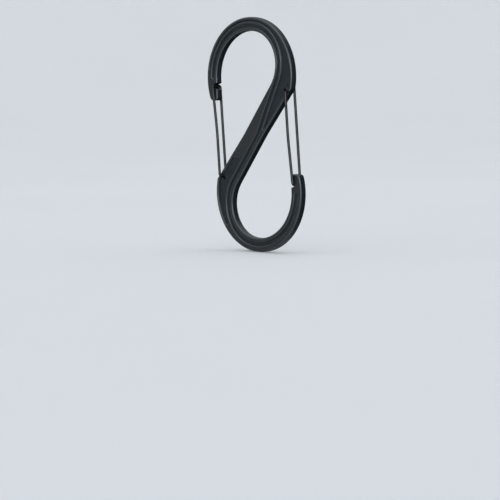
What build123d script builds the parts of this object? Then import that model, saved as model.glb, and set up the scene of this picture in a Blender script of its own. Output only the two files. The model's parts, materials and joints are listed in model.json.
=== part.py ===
"""Hanging hook: an S-shaped moulded body with a sprung wire gate across each eye.

The S lies in the XZ plane with +Z up and its thickness along Y, and the front face looks along -Y.
The origin is the centre of the S, and the body's outline repeats when it is turned half a turn about Y.
The upper eye takes a pipe, the lower eye carries the load, and each gate swings into its own eye.
"""

import os
from math import atan2, cos, degrees, hypot, radians, sin, sqrt, tan

from build123d import *

# Driving dimensions, in millimetres and degrees.
EYE_X = -7.8  # centre of the upper eye; the lower eye's centre is opposite
EYE_Z = 68.9
OUTER_R = 71.0  # outside of each eye
STRAND = 16.5  # width of the plain arc round each eye
SEAT_R = 40.0  # inside of each eye beside its shoulder
BODY_T = 9.4  # thickness of the body
EDGE_R = 2.0  # rounding along every outer edge

BEAM_HALF_X = 16.5  # half the diagonal beam's width, measured along X at the centre
BEAM_BLEND_R = 150.0
INNER_LEAN = 36.6  # lean of the beam's eye-side edges from vertical
OUTER_LEAN = 39.85  # lean of the beam's shoulder-side edges from vertical
SHOULDER_R = 4.0

UPPER_TIP_Z = 40.2  # height of the upper nose's end face
LOWER_TIP_Z = -45.2  # and of the lower one's
NOSE_OUTER_R = 5.0
NOSE_INNER_R = 3.2
NOTCH_X = 67.2  # the lower gate's crossbar rests here, and the upper gate's opposite
NOTCH_Z = 57.8
NOTCH_MOUTH = 5.0  # how far the notch opens above and below the crossbar

RECESS = 2.0  # depth of the grooves and web panels in each face
LIP_R = 1.2  # rounding of the ridges beside them
FLOOR_R = 0.6  # rounding along the foot of each ridge
GROOVE_W = 4.6
UPPER_GROOVE = 6.3  # groove's centreline from the inner edge of each eye
LOWER_GROOVE = 7.5
STRAND_X = 7.15  # where the groove's straight stretch crosses the X axis
STRAND_LEAN = 24.9
STRAND_R = 60.0
BEAD_W = 2.6  # ridge between the groove and a web panel
RIM_W = 3.3  # ridge along the outer edge, outside a web panel
CREASE_R = 0.9  # corners of the web panels
WEB_START = 172.0  # where the upper web panel begins, as an angle round its eye
LOWER_WEB_START = 38.0  # and the lower one, turned half a turn
LOWER_WEB_END_Z = 28.0  # the lower web panel stops this far below the centre
WEB_END_R = 3.0

WIRE_D = 3.2
LEG_Y = 6.5  # centre plane of each leg, in front of and behind the body
PIVOT_X = 56.7  # axis of the lower gate's hinge, where the back leg's foot turns
PIVOT_Z = 58.9
FOOT_X = 54.7  # foot of the front leg, in its curved slot
FOOT_Z = 50.9
BOW_X = 59.2  # the front leg bows a little towards the beam here
BOW_Z = -2.0
BOW_R = 400.0
FOOT_BEND_R = 2.9
NOSE_BEND_R = 2.6
SWING = 38.0  # how far each gate opens
RUN_FIT = 0.05  # radial clearance of a foot in its hole
SEAT_FIT = 0.2  # clearance round the crossbar in its notch
SLOT_FLOOR_Y = 1.2  # the curved slot is blind, and this deep from the front
COUNTERBORE_D = 4.8
COUNTERBORE_DEPTH = 0.6
RELIEF_R = 13.2  # outer radius of the sector, about the hinge, where the front leg crosses the rim
RELIEF_HUB_R = 5.6
RELIEF_PAST = 10.0  # how far round the sector runs past the leg at each end of its swing
FRONT_TIP_Y = 1.0  # the front foot ends in its slot
BACK_TIP_Y = -2.5  # the back foot reaches nearly through, into the counterbore
WIRE_END_R = 0.4

# Sizes that follow from them.
HALF_T = BODY_T / 2
FLOOR_Y = HALF_T - RECESS
WIRE_R = WIRE_D / 2
INNER_R = OUTER_R - STRAND
RIM_R = OUTER_R - RIM_W
INNER_SLOPE = tan(radians(INNER_LEAN))
OUTER_SLOPE = tan(radians(OUTER_LEAN))
STRAND_SLOPE = tan(radians(STRAND_LEAN))
FOOT_ARM = hypot(FOOT_X - PIVOT_X, FOOT_Z - PIVOT_Z)
FOOT_ANGLE = degrees(atan2(FOOT_Z - PIVOT_Z, FOOT_X - PIVOT_X))
HALVES = ((1, 0), (-1, 180))  # the upper half of the S, and the same turned half a turn


def on_eye(radius, angle):
    """A point on a circle about the upper eye's centre."""
    return (EYE_X + radius * cos(radians(angle)), EYE_Z + radius * sin(radians(angle)))


def eye_angle(point):
    """The angle of a point seen from the upper eye's centre, from -180 to 180."""
    return degrees(atan2(point[1] - EYE_Z, point[0] - EYE_X))


def left_of_eye(radius, z):
    """The point on the left side of that circle at a height."""
    return (EYE_X - sqrt(radius**2 - (z - EYE_Z) ** 2), z)


def right_of_eye(radius, x_axis, slope):
    """Where the line x = x_axis + slope * z leaves that circle, going up."""
    run = x_axis - EYE_X
    a = 1 + slope**2
    b = slope * run - EYE_Z
    z = (sqrt(b**2 - a * (run**2 + EYE_Z**2 - radius**2)) - b) / a
    return (x_axis + slope * z, z)


def crossing(x_a, slope_a, x_b, slope_b):
    """Where two lines x = x_axis + slope * z meet."""
    z = (x_b - x_a) / (slope_a - slope_b)
    return (x_a + slope_a * z, z)


def turned(point, half):
    """A point of the upper half, or the same point turned half a turn."""
    return (half * point[0], half * point[1])


def shifted(x_axis, offset, lean):
    """Where a leaning line crosses the X axis once it is moved to the right by an offset."""
    return x_axis + offset / cos(radians(lean))


def beside_eye(offset):
    """The beam's upper eye-side edge, moved into the beam by an offset."""
    return shifted(-BEAM_HALF_X, offset, INNER_LEAN)


# Profiles, drawn with the S's X and Z as the sketch's two directions.
neck = right_of_eye(INNER_R, -BEAM_HALF_X, INNER_SLOPE)
shoulder = right_of_eye(OUTER_R, BEAM_HALF_X, OUTER_SLOPE)
tongue = left_of_eye(INNER_R, NOTCH_Z)
tips = {1: left_of_eye(OUTER_R, UPPER_TIP_Z), -1: left_of_eye(OUTER_R, -LOWER_TIP_Z)}

with BuildSketch() as outline:
    with BuildLine():
        for half, turn in HALVES:
            eye = turned((EYE_X, EYE_Z), half)
            Line(turned((-BEAM_HALF_X, 0), half), turned(neck, half))
            start = eye_angle(neck)
            CenterArc(eye, INNER_R, start + turn, eye_angle(tongue) + 360 - start)
            tip = tips[half]
            Polyline(
                turned(tongue, half),
                turned((tongue[0], tip[1]), half),
                turned(tip, half),
            )
            start = eye_angle(tip) + 360
            CenterArc(eye, OUTER_R, start + turn, eye_angle(shoulder) - start)
            Line(turned(shoulder, half), turned((BEAM_HALF_X, 0), half))
    make_face()
    for half, tip in tips.items():
        roundings = (
            (neck, SEAT_R),
            (shoulder, SHOULDER_R),
            ((tongue[0], tip[1]), NOSE_INNER_R),
            (tip, NOSE_OUTER_R),
            ((BEAM_HALF_X, 0), BEAM_BLEND_R),
        )
        for place, radius in roundings:
            corner = Vector(*turned(place, half))
            fillet(outline.vertices().sort_by_distance(corner)[0], radius)

# The groove runs from nose to nose, crossing the beam from the upper eye's side to the lower eye's.
lower_line = beside_eye(LOWER_GROOVE)
upper_arm = right_of_eye(INNER_R + UPPER_GROOVE, STRAND_X, STRAND_SLOPE)
lower_arm = turned(right_of_eye(INNER_R + LOWER_GROOVE, lower_line, INNER_SLOPE), -1)
leave = crossing(-lower_line, INNER_SLOPE, STRAND_X, STRAND_SLOPE)

with BuildSketch() as groove:
    with BuildLine() as centreline:
        start = eye_angle(upper_arm)
        CenterArc((EYE_X, EYE_Z), INNER_R + UPPER_GROOVE, start, 180 - start)
        Polyline(upper_arm, leave, lower_arm)
        start = eye_angle(turned(lower_arm, -1)) + 180
        CenterArc((-EYE_X, -EYE_Z), INNER_R + LOWER_GROOVE, start, 360 - start)
        bends = (
            (upper_arm, SEAT_R + UPPER_GROOVE),
            (leave, STRAND_R),
            (lower_arm, SEAT_R + LOWER_GROOVE),
        )
        for place, radius in bends:
            fillet(centreline.vertices().sort_by_distance(Vector(*place))[0], radius)
        offset(amount=GROOVE_W / 2, side=Side.BOTH)
    make_face()

# The upper web panel lies between the groove's outer ridge and the rim, down to a tip in the beam.
bead_edge = UPPER_GROOVE + GROOVE_W / 2 + BEAD_W
strand_line = shifted(STRAND_X, GROOVE_W / 2 + BEAD_W, STRAND_LEAN)
rim_line = shifted(BEAM_HALF_X, -RIM_W, OUTER_LEAN)
web_arm = right_of_eye(INNER_R + bead_edge, strand_line, STRAND_SLOPE)
web_tip = crossing(strand_line, STRAND_SLOPE, rim_line, OUTER_SLOPE)
web_corner = right_of_eye(RIM_R, rim_line, OUTER_SLOPE)

with BuildSketch() as upper_web:
    with BuildLine():
        start = eye_angle(web_arm)
        CenterArc((EYE_X, EYE_Z), INNER_R + bead_edge, start, WEB_START - start)
        Polyline(web_arm, web_tip, web_corner)
        start = eye_angle(web_corner)
        CenterArc((EYE_X, EYE_Z), RIM_R, start, WEB_START - start)
        Line(on_eye(INNER_R + bead_edge, WEB_START), on_eye(RIM_R, WEB_START))
    make_face()
    roundings = (
        (web_arm, SEAT_R + bead_edge),
        (web_tip, CREASE_R),
        (web_corner, SHOULDER_R - CREASE_R),
        (on_eye(INNER_R + bead_edge, WEB_START), CREASE_R),
        (on_eye(RIM_R, WEB_START), CREASE_R),
    )
    for place, radius in roundings:
        fillet(upper_web.vertices().sort_by_distance(Vector(*place))[0], radius)

# The lower web panel is drawn on the upper half, and turned half a turn.
far_edge = LOWER_GROOVE + GROOVE_W / 2 + BEAD_W
far_line = beside_eye(far_edge)
far_arm = right_of_eye(INNER_R + far_edge, far_line, INNER_SLOPE)
near_end = (far_line + INNER_SLOPE * LOWER_WEB_END_Z, LOWER_WEB_END_Z)
far_end = (rim_line + OUTER_SLOPE * LOWER_WEB_END_Z, LOWER_WEB_END_Z)

with BuildSketch() as lower_web:
    with BuildLine():
        start = eye_angle(far_arm)
        CenterArc((EYE_X, EYE_Z), INNER_R + far_edge, start, 90 - start)
        Polyline(far_arm, near_end, far_end, web_corner)
        start = eye_angle(web_corner)
        CenterArc((EYE_X, EYE_Z), RIM_R, start, 90 - start)
        Line((EYE_X, EYE_Z + INNER_R + far_edge), (EYE_X, EYE_Z + RIM_R))
    make_face()
    fillet(lower_web.vertices().sort_by_distance(Vector(*far_arm))[0], SEAT_R + far_edge)
    across = (-sin(radians(LOWER_WEB_START)), cos(radians(LOWER_WEB_START)))
    split(bisect_by=Plane(origin=(EYE_X, EYE_Z), z_dir=across), keep=Keep.BOTTOM)
    fillet(lower_web.vertices().sort_by_distance(Vector(*web_corner))[0], SHOULDER_R - CREASE_R)
    fillet(lower_web.vertices().group_by(Axis.Y)[0], WEB_END_R)
    fillet(lower_web.vertices().group_by(SortBy.DISTANCE)[-1], CREASE_R)

# Cuts for one gate, drawn in the same way: the notch its crossbar rests in, and the hinge.
hinge = (PIVOT_X, PIVOT_Z)
mouth_x = -tongue[0] - 1

with BuildSketch() as notch:
    with Locations((NOTCH_X, -NOTCH_Z)):
        Circle(WIRE_R + SEAT_FIT)
    with BuildLine():
        Line((mouth_x, -NOTCH_Z - NOTCH_MOUTH), (mouth_x, -NOTCH_Z + NOTCH_MOUTH))
    make_hull()

with BuildSketch() as back_foot_hole:
    with Locations(hinge):
        Circle(WIRE_R + RUN_FIT)

with BuildSketch() as counterbore:
    with Locations(hinge):
        Circle(COUNTERBORE_D / 2)

with BuildSketch() as foot_slot:
    SlotArc(CenterArc(hinge, FOOT_ARM, FOOT_ANGLE - SWING, SWING).edge(), WIRE_D + 2 * RUN_FIT)

relief_from = FOOT_ANGLE - SWING - RELIEF_PAST
with BuildSketch() as relief:
    with BuildLine():
        arc = CenterArc(hinge, (RELIEF_HUB_R + RELIEF_R) / 2, relief_from, SWING + 2 * RELIEF_PAST)
        offset(arc, amount=(RELIEF_R - RELIEF_HUB_R) / 2, side=Side.BOTH)
    make_face()

# The S-shaped body.
with BuildPart() as s_body:
    with BuildSketch(Plane.XZ):
        add(outline.sketch)
    extrude(amount=HALF_T, both=True)
    rims = s_body.edges().filter_by_position(Axis.Y, HALF_T, HALF_T)
    rims += s_body.edges().filter_by_position(Axis.Y, -HALF_T, -HALF_T)
    fillet(rims, EDGE_R)
    for side in (1, -1):
        for recess, turn in ((groove, 0), (upper_web, 0), (lower_web, 180)):
            with BuildSketch(Plane.XZ.offset(side * HALF_T)):
                add(recess.sketch, rotation=turn)
            extrude(amount=-side * RECESS, mode=Mode.SUBTRACT)
    walls = s_body.faces().filter_by(lambda face: abs(face.normal_at().Y) < 0.01)
    walls = walls.filter_by(lambda face: abs(abs(face.center().Y) - (HALF_T + FLOOR_Y) / 2) < 0.1)
    tops = [edge for edge in walls.edges() if abs(abs(edge.center().Y) - HALF_T) < 0.01]
    floors = [edge for edge in walls.edges() if abs(abs(edge.center().Y) - FLOOR_Y) < 0.01]
    fillet(tops, LIP_R)
    fillet(floors, FLOOR_R)
    for half, turn in HALVES:
        with BuildSketch(Plane.XZ):
            add(notch.sketch, rotation=turn)
            add(back_foot_hole.sketch, rotation=turn)
        extrude(amount=HALF_T + 1, both=True, mode=Mode.SUBTRACT)
        with BuildSketch(Plane.XZ.offset(FLOOR_Y)):
            add(relief.sketch, rotation=turn)
        extrude(amount=RECESS + 1, mode=Mode.SUBTRACT)
        with BuildSketch(Plane.XZ.offset(FLOOR_Y - COUNTERBORE_DEPTH)):
            add(counterbore.sketch, rotation=turn)
        extrude(amount=COUNTERBORE_DEPTH + 1, mode=Mode.SUBTRACT)
        with BuildSketch(Plane.XZ.offset(-SLOT_FLOOR_Y)):
            add(foot_slot.sketch, rotation=turn)
        extrude(amount=HALF_T + SLOT_FLOOR_Y + 1, mode=Mode.SUBTRACT)

# The gate that closes the lower eye: one wire from its front foot, round the nose, to its back foot.
with BuildPart() as lower_gate:
    with BuildLine():
        FilletPolyline(
            (FOOT_X, FRONT_TIP_Y, FOOT_Z),
            (FOOT_X, -LEG_Y, FOOT_Z),
            (BOW_X, -LEG_Y, BOW_Z),
            (NOTCH_X, -LEG_Y, -NOTCH_Z),
            (NOTCH_X, LEG_Y, -NOTCH_Z),
            (PIVOT_X, LEG_Y, PIVOT_Z),
            (PIVOT_X, BACK_TIP_Y, PIVOT_Z),
            radius=(FOOT_BEND_R, BOW_R, NOSE_BEND_R, NOSE_BEND_R, FOOT_BEND_R),
        )
    with BuildSketch(Plane(origin=(FOOT_X, FRONT_TIP_Y, FOOT_Z), z_dir=(0, -1, 0))):
        Circle(WIRE_R)
    sweep()
    fillet(lower_gate.faces().filter_by(Axis.Y).edges(), WIRE_END_R)

# The gate that closes the upper eye is the same wire, turned half a turn.
with BuildPart() as upper_gate:
    add(lower_gate.part, rotation=(0, 180, 0))

s_body.part.label = "s_body"
lower_gate.part.label = "lower_gate"
upper_gate.part.label = "upper_gate"

os.makedirs("parts", exist_ok=True)
export_step(s_body.part, "parts/s_body.step")
export_step(lower_gate.part, "parts/lower_gate.step")
export_step(upper_gate.part, "parts/upper_gate.step")
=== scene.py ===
"""Looks for the hanging hook: its CAD nodes in procedural plastic and steel, on a pale floor."""

import json
import math

import bmesh
import bpy
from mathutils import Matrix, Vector


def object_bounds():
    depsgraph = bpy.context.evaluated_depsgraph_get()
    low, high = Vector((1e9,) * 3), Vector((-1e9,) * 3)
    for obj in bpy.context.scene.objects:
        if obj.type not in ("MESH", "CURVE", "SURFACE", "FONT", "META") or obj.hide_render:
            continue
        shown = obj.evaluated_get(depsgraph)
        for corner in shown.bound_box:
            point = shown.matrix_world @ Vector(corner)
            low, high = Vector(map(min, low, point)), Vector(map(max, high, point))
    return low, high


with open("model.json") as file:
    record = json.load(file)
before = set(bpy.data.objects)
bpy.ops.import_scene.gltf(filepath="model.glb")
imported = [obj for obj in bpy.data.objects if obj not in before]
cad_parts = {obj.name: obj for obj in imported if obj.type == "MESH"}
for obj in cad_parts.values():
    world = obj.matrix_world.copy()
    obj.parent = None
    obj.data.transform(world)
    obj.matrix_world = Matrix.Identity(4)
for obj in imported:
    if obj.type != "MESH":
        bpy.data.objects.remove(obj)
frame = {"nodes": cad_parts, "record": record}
cad_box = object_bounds()

MM = 0.001
FACE = 4.7 * MM  # the body's faces lie this far in front of and behind its middle plane
FLOOR = 2.7 * MM  # and the floors of its grooves and web panels this far
SEAT = frame["record"]["mounts"][0]  # the upper seat; the lower one is opposite
SEAT_X, SEAT_Z = SEAT["pos_m"][0], SEAT["pos_m"][2]
SEAT_R = SEAT["dims"]["r_mm"] * MM
LEG_LEAN = 0.1  # how far each gate's legs lean towards -X for each unit they rise

# Linear base colours of the plastic and of the wire.
PLASTIC_DARK = (0.0016, 0.0040, 0.0058, 1)
PLASTIC_LIGHT = (0.0028, 0.0056, 0.0076, 1)
PLASTIC_FACE_PAINTED_LIGHT = (0.0080, 0.0092, 0.0105, 1)
PLASTIC_LIP_HIGHLIGHT = (0.0330, 0.0370, 0.0400, 1)
PLASTIC_HANDLED = (0.0070, 0.0105, 0.0125, 1)
PLASTIC_SCUFFED = (0.0900, 0.0980, 0.1020, 1)
PLASTIC_WORN = (0.0420, 0.0450, 0.0470, 1)
WIRE_DARK = (0.030, 0.030, 0.031, 1)
WIRE_LIGHT = (0.040, 0.040, 0.040, 1)
WIRE_FILM = (0.023, 0.023, 0.023, 1)
WIRE_SPECK = (0.020, 0.017, 0.015, 1)
WIRE_RUBBED = (0.070, 0.069, 0.068, 1)
PAPER_DARK = (0.88, 0.87, 0.86, 1)
PAPER_LIGHT = (0.91, 0.90, 0.89, 1)
FELT = (0.004, 0.004, 0.004, 1)

# The stage, in metres and watts.
FLOOR_REACH = 3.6  # the floor is flat this far out, and then curves up
COVE_R = 2.4
COVE_STEPS = 12
WALL_TOP = 4.2
FLOOR_SPOKES = 96
CARD_GAP = 2 * MM  # between the floor and the card that lies on it
KEY_COLOUR = (0.88, 0.96, 1.0)
TOP_COLOUR = (0.92, 0.97, 1.0)
AIR_COLOUR = (0.86, 0.93, 1.0, 1)
AIR_STRENGTH = 0.95


class Nodes:
    """A material's node tree, with short ways to add to it."""

    def __init__(self, name):
        self.material = bpy.data.materials.new(name)
        self.material.use_nodes = True
        self.tree = self.material.node_tree
        self.shader = self.tree.nodes["Principled BSDF"]
        self.place = self.tree.nodes.new("ShaderNodeTexCoord").outputs["Object"]

    def put(self, value, socket):
        """Link an output to a socket, or set the socket to a plain value."""
        if isinstance(value, bpy.types.NodeSocket):
            self.tree.links.new(value, socket)
        else:
            socket.default_value = value

    def math(self, operation, a, b=0.0, clamp=False):
        node = self.tree.nodes.new("ShaderNodeMath")
        node.operation = operation
        node.use_clamp = clamp
        self.put(a, node.inputs[0])
        self.put(b, node.inputs[1])
        return node.outputs[0]

    def ramp(self, value, low, high, to_low=0.0, to_high=1.0):
        """The value's smooth rise from low to high, as a number from to_low to to_high."""
        node = self.tree.nodes.new("ShaderNodeMapRange")
        node.interpolation_type = "SMOOTHSTEP"
        self.put(value, node.inputs["Value"])
        node.inputs["From Min"].default_value = low
        node.inputs["From Max"].default_value = high
        node.inputs["To Min"].default_value = to_low
        node.inputs["To Max"].default_value = to_high
        return node.outputs["Result"]

    def mix(self, share, a, b):
        node = self.tree.nodes.new("ShaderNodeMix")
        node.data_type = "RGBA"
        self.put(share, node.inputs["Factor"])
        self.put(a, node.inputs[6])
        self.put(b, node.inputs[7])
        return node.outputs[2]

    def stretched(self, x, y, z):
        node = self.tree.nodes.new("ShaderNodeMapping")
        node.inputs["Scale"].default_value = (x, y, z)
        self.put(self.place, node.inputs["Vector"])
        return node.outputs["Vector"]

    def leaning(self, lean, across, along):
        """Coordinates for streaks along a piece that leans in X as it rises."""
        x, y, z = self.axes()
        node = self.tree.nodes.new("ShaderNodeCombineXYZ")
        upright = self.math("ADD", x, self.math("MULTIPLY", z, lean))
        for value, scale, socket in zip((upright, y, z), (across, across, along), node.inputs):
            self.put(self.math("MULTIPLY", value, scale), socket)
        return node.outputs["Vector"]

    def noise(self, scale, detail=2.0, rough=0.5, at=None):
        node = self.tree.nodes.new("ShaderNodeTexNoise")
        node.inputs["Scale"].default_value = scale
        node.inputs["Detail"].default_value = detail
        node.inputs["Roughness"].default_value = rough
        self.put(at or self.place, node.inputs["Vector"])
        return node.outputs["Fac"]

    def cells(self, scale):
        node = self.tree.nodes.new("ShaderNodeTexVoronoi")
        node.feature = "F1"
        node.inputs["Scale"].default_value = scale
        self.put(self.place, node.inputs["Vector"])
        return node.outputs["Distance"]

    def axes(self):
        node = self.tree.nodes.new("ShaderNodeSeparateXYZ")
        self.put(self.place, node.inputs[0])
        return node.outputs["X"], node.outputs["Y"], node.outputs["Z"]

    def bump(self, height, depth, under=None):
        """A height from 0 to 1, cut to a depth in metres, over an earlier bump."""
        node = self.tree.nodes.new("ShaderNodeBump")
        node.inputs["Strength"].default_value = 1.0
        node.inputs["Distance"].default_value = depth
        self.put(height, node.inputs["Height"])
        if under is not None:
            self.put(under, node.inputs["Normal"])
        return node.outputs["Normal"]

    def finish(self, **sockets):
        for name, value in sockets.items():
            self.put(value, self.shader.inputs[name.replace("_", " ")])
        return self.material


def moulded_plastic():
    """Charcoal moulded plastic: spark-eroded grain, a parting line, smoother ridge faces, scuffed edges,
    painted shade that leaves the grooves and web panels darker than the faces, and a painted highlight
    on the ridges' rounded lips.
    """
    n = Nodes("black_plastic_moulded")
    x, y, z = n.axes()
    depth = n.math("ABSOLUTE", y)

    # The faces of the ridges and rims: smoother, scratched, and painted lighter than the recessed floors
    # as painted shade.
    crest = n.ramp(depth, FACE - 1.3 * MM, FACE - 0.1 * MM)
    panel = n.ramp(depth, FLOOR + 0.5 * MM, FLOOR + 0.1 * MM)
    near_face = n.ramp(depth, FACE - 1.2 * MM, FACE - 0.6 * MM)
    # The rounded lips just below the faces, which carry a painted highlight.
    lip_highlight = n.math("MULTIPLY", near_face, n.ramp(depth, FACE - 0.01 * MM, FACE - 0.12 * MM))
    flow = n.noise(28.0, 3.0, 0.6)
    cloud = n.noise(140.0, 4.0, 0.6)
    grain = n.noise(3600.0, 2.0, 0.6)
    pits = n.cells(2400.0)

    # Fine scratches, mostly along the beam and round the rims, where the hook is handled.
    strokes = n.noise(1.0, 2.0, 0.7, n.stretched(260.0, 1500.0, 2600.0))
    strokes_b = n.noise(1.0, 2.0, 0.7, n.stretched(2600.0, 1500.0, 260.0))
    scratch = n.math("MAXIMUM", n.ramp(strokes, 0.66, 0.74), n.ramp(strokes_b, 0.67, 0.75))
    handled = n.ramp(cloud, 0.46, 0.66)
    scuff = n.math("MULTIPLY", n.math("MULTIPLY", scratch, handled), crest)

    # The pipe and the rim polish the middle of each seat.
    side = n.math("SIGN", z)
    dx = n.math("SUBTRACT", n.math("MULTIPLY", x, side), SEAT_X)
    dz = n.math("SUBTRACT", n.math("MULTIPLY", z, side), SEAT_Z)
    out = n.math("SQRT", n.math("ADD", n.math("MULTIPLY", dx, dx), n.math("MULTIPLY", dz, dz)))
    seat = n.ramp(out, SEAT_R + 0.5 * MM, SEAT_R + 0.1 * MM)
    worn = n.math("MULTIPLY", seat, n.ramp(dz, 10 * MM, 30 * MM))
    worn = n.math("MULTIPLY", worn, n.ramp(n.noise(420.0, 3.0, 0.7), 0.36, 0.62))

    base = n.mix(flow, PLASTIC_DARK, PLASTIC_LIGHT)
    # Painted shade: the faces are lightened, and the grooves and web panels keep the darker base.
    base = n.mix(n.math("MULTIPLY", crest, 0.9), base, PLASTIC_FACE_PAINTED_LIGHT)
    # Painted highlight along the rounded lips of the ridges.
    base = n.mix(n.math("MULTIPLY", lip_highlight, 0.8), base, PLASTIC_LIP_HIGHLIGHT)
    base = n.mix(n.math("MULTIPLY", n.math("MULTIPLY", panel, handled), 0.25), base, PLASTIC_HANDLED)
    base = n.mix(n.math("MULTIPLY", scuff, 0.55), base, PLASTIC_SCUFFED)
    base = n.mix(n.math("MULTIPLY", worn, 0.5), base, PLASTIC_WORN)

    rough = n.math("ADD", n.math("MULTIPLY", flow, 0.10), 0.37)
    rough = n.math("SUBTRACT", rough, n.math("MULTIPLY", crest, 0.05))
    rough = n.math("ADD", rough, n.math("MULTIPLY", panel, 0.05))
    rough = n.math("ADD", rough, n.math("MULTIPLY", scuff, 0.18))
    rough = n.math("SUBTRACT", rough, n.math("MULTIPLY", worn, 0.12), clamp=True)

    # The two mould halves meet in the middle plane.
    seam = n.ramp(depth, 0.16 * MM, 0.05 * MM)
    normal = n.bump(n.math("ADD", grain, n.math("MULTIPLY", pits, 0.8)), 0.018 * MM)
    normal = n.bump(seam, 0.05 * MM, normal)
    normal = n.bump(n.math("SUBTRACT", 1.0, scuff), 0.01 * MM, normal)
    return n.finish(Base_Color=base, Roughness=rough, Normal=normal, Specular_IOR_Level=0.30, IOR=1.49)


def drawn_wire():
    """Plain drawn steel wire: die lines along its length, a dull film, and a rubbed crossbar."""
    n = Nodes("gate_steel_drawn")
    x, y, z = n.axes()
    lines = n.noise(1.0, 2.0, 0.6, n.leaning(LEG_LEAN, 2600.0, 30.0))
    film = n.noise(210.0, 4.0, 0.65)
    specks = n.ramp(n.noise(1500.0, 2.0, 0.6), 0.64, 0.74)
    across = n.ramp(n.math("ABSOLUTE", y), 5.2 * MM, 4.0 * MM)

    base = n.mix(lines, WIRE_DARK, WIRE_LIGHT)
    base = n.mix(n.ramp(film, 0.42, 0.68, 0.0, 0.6), base, WIRE_FILM)
    base = n.mix(n.math("MULTIPLY", specks, 0.45), base, WIRE_SPECK)
    base = n.mix(n.math("MULTIPLY", across, 0.35), base, WIRE_RUBBED)

    rough = n.math("ADD", n.math("MULTIPLY", film, 0.18), 0.42)
    rough = n.math("ADD", rough, n.math("MULTIPLY", specks, 0.2))
    rough = n.math("SUBTRACT", rough, n.math("MULTIPLY", across, 0.06), clamp=True)
    normal = n.bump(lines, 0.003 * MM)
    normal = n.bump(specks, 0.008 * MM, normal)
    return n.finish(Base_Color=base, Roughness=rough, Normal=normal, Metallic=1.0)


def studio_paper():
    """Matt pale paper for the floor."""
    n = Nodes("studio_paper")
    tone = n.noise(2.2, 3.0, 0.5)
    fibre = n.noise(900.0, 2.0, 0.6)
    base = n.mix(tone, PAPER_DARK, PAPER_LIGHT)
    rough = n.math("ADD", n.math("MULTIPLY", fibre, 0.08), 0.86)
    normal = n.bump(fibre, 0.02 * MM)
    return n.finish(Base_Color=base, Roughness=rough, Normal=normal, Specular_IOR_Level=0.0)


def dress(node, material):
    piece = frame["nodes"][node]
    for index in range(max(1, len(piece.material_slots))):
        if not piece.material_slots:
            piece.data.materials.append(material)
        piece.material_slots[index].material = material


plastic = moulded_plastic()
steel = drawn_wire()
dress("s_body", plastic)
dress("lower_gate", steel)
dress("upper_gate", steel)


def turned_floor():
    """A round floor that curves up into a wall all the way round, so that no view sees an edge."""
    level = cad_box[0][2]
    profile = [(0.0, level), (FLOOR_REACH, level)]
    for step in range(1, COVE_STEPS + 1):
        turn = math.radians(90 / COVE_STEPS * step)
        out, up = COVE_R * math.sin(turn), COVE_R * (1 - math.cos(turn))
        profile.append((FLOOR_REACH + out, level + up))
    profile.append((FLOOR_REACH + COVE_R, level + WALL_TOP))
    mesh = bmesh.new()
    line = [mesh.verts.new((r, 0.0, z)) for r, z in profile]
    edges = [mesh.edges.new(pair) for pair in zip(line, line[1:])]
    whole = line + edges
    up_axis, middle = (0, 0, 1), (0, 0, 0)
    bmesh.ops.spin(mesh, geom=whole, axis=up_axis, cent=middle, angle=math.tau, steps=FLOOR_SPOKES)
    bmesh.ops.remove_doubles(mesh, verts=mesh.verts, dist=1e-4)
    for face in mesh.faces:
        face.smooth = True
    data = bpy.data.meshes.new("studio_floor")
    mesh.to_mesh(data)
    mesh.free()
    floor = bpy.data.objects.new("studio_floor", data)
    bpy.context.scene.collection.objects.link(floor)
    floor.data.materials.append(studio_paper())


hook_only = bpy.data.collections.new("lit_by_the_softboxes")
for piece in frame["nodes"].values():
    hook_only.objects.link(piece)


def softbox(name, place, width, height, power, colour):
    """A soft panel, facing the hook, that lights it and leaves the floor evenly pale."""
    light = bpy.data.lights.new(name, "AREA")
    light.shape = "RECTANGLE"
    light.size = width
    light.size_y = height
    light.energy = power
    light.color = colour
    lamp = bpy.data.objects.new(name, light)
    bpy.context.scene.collection.objects.link(lamp)
    lamp.location = place
    lamp.rotation_euler = (-Vector(place)).to_track_quat("-Z", "Y").to_euler()
    lamp.light_linking.receiver_collection = hook_only
    lamp.visible_camera = False


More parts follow.
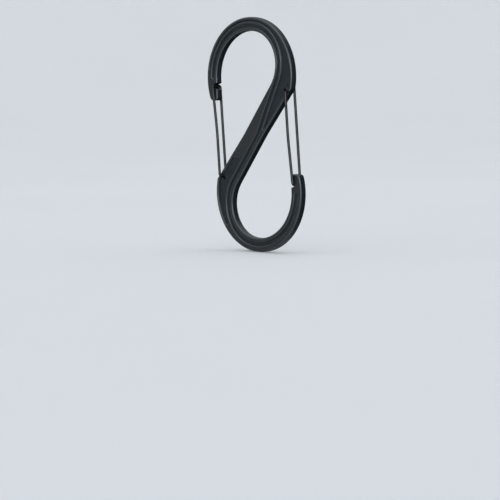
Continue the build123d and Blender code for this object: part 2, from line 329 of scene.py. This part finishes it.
def dark_flag(name, place, facing, width, height):
    """A dark panel that only shows in the hook's own sheen."""
    mesh = bmesh.new()
    bmesh.ops.create_grid(mesh, x_segments=1, y_segments=1, size=0.5)
    data = bpy.data.meshes.new(name)
    mesh.to_mesh(data)
    mesh.free()
    flag = bpy.data.objects.new(name, data)
    bpy.context.scene.collection.objects.link(flag)
    flag.scale = (width, height, 1)
    flag.location = place
    flag.rotation_euler = Vector(facing).to_track_quat("Z", "Y").to_euler()
    flag.visible_camera = False
    flag.visible_diffuse = False
    flag.visible_shadow = False
    felt = Nodes("black_felt")
    felt.finish(Base_Color=FELT, Roughness=1.0, Specular_IOR_Level=0.0)
    data.materials.append(felt.material)


turned_floor()
softbox("key_light", (1.9, -1.75, 0.75), 3.2, 1.6, 120.0, KEY_COLOUR)
softbox("top_light", (0.2, -0.6, 2.5), 1.2, 1.2, 30.0, TOP_COLOUR)
dark_flag("flag_behind", (1.9, 2.0, 0.6), (-1.9, -2.0, 0.0), 5.5, 4.5)
dark_flag("card_below", (0.25, 0.53, cad_box[0][2] + CARD_GAP), (0, 0, 1), 1.6, 1.0)

world = bpy.data.worlds.new("studio_air")
world.use_nodes = True
world.node_tree.nodes["Background"].inputs["Color"].default_value = AIR_COLOUR
world.node_tree.nodes["Background"].inputs["Strength"].default_value = AIR_STRENGTH
bpy.context.scene.world = world
bpy.context.scene.view_settings.view_transform = "Standard"

# The camera stands low and to the right of the front, and looks a little below the hook and to its left.
AZIMUTH = 44.6
ELEVATION = 1.4
DISTANCE = 2.631
AIM_LEFT = 0.152
AIM_BELOW = 3.003
SENSOR_MM = 36.0
LENS_MM = 158.4
CLIP_END = 50.0
turn, rise = math.radians(AZIMUTH), math.radians(ELEVATION)
camera_data = bpy.data.cameras.new("camera")
camera_data.sensor_width = SENSOR_MM
camera_data.lens = LENS_MM
camera_data.clip_end = CLIP_END
camera = bpy.data.objects.new("camera", camera_data)
bpy.context.scene.collection.objects.link(camera)
camera.location = (
    DISTANCE * math.sin(turn) * math.cos(rise),
    -DISTANCE * math.cos(turn) * math.cos(rise),
    DISTANCE * math.sin(rise),
)
camera.rotation_euler = (
    math.radians(90 - ELEVATION - AIM_BELOW),
    0,
    math.radians(AZIMUTH + AIM_LEFT),
)
bpy.context.scene.camera = camera
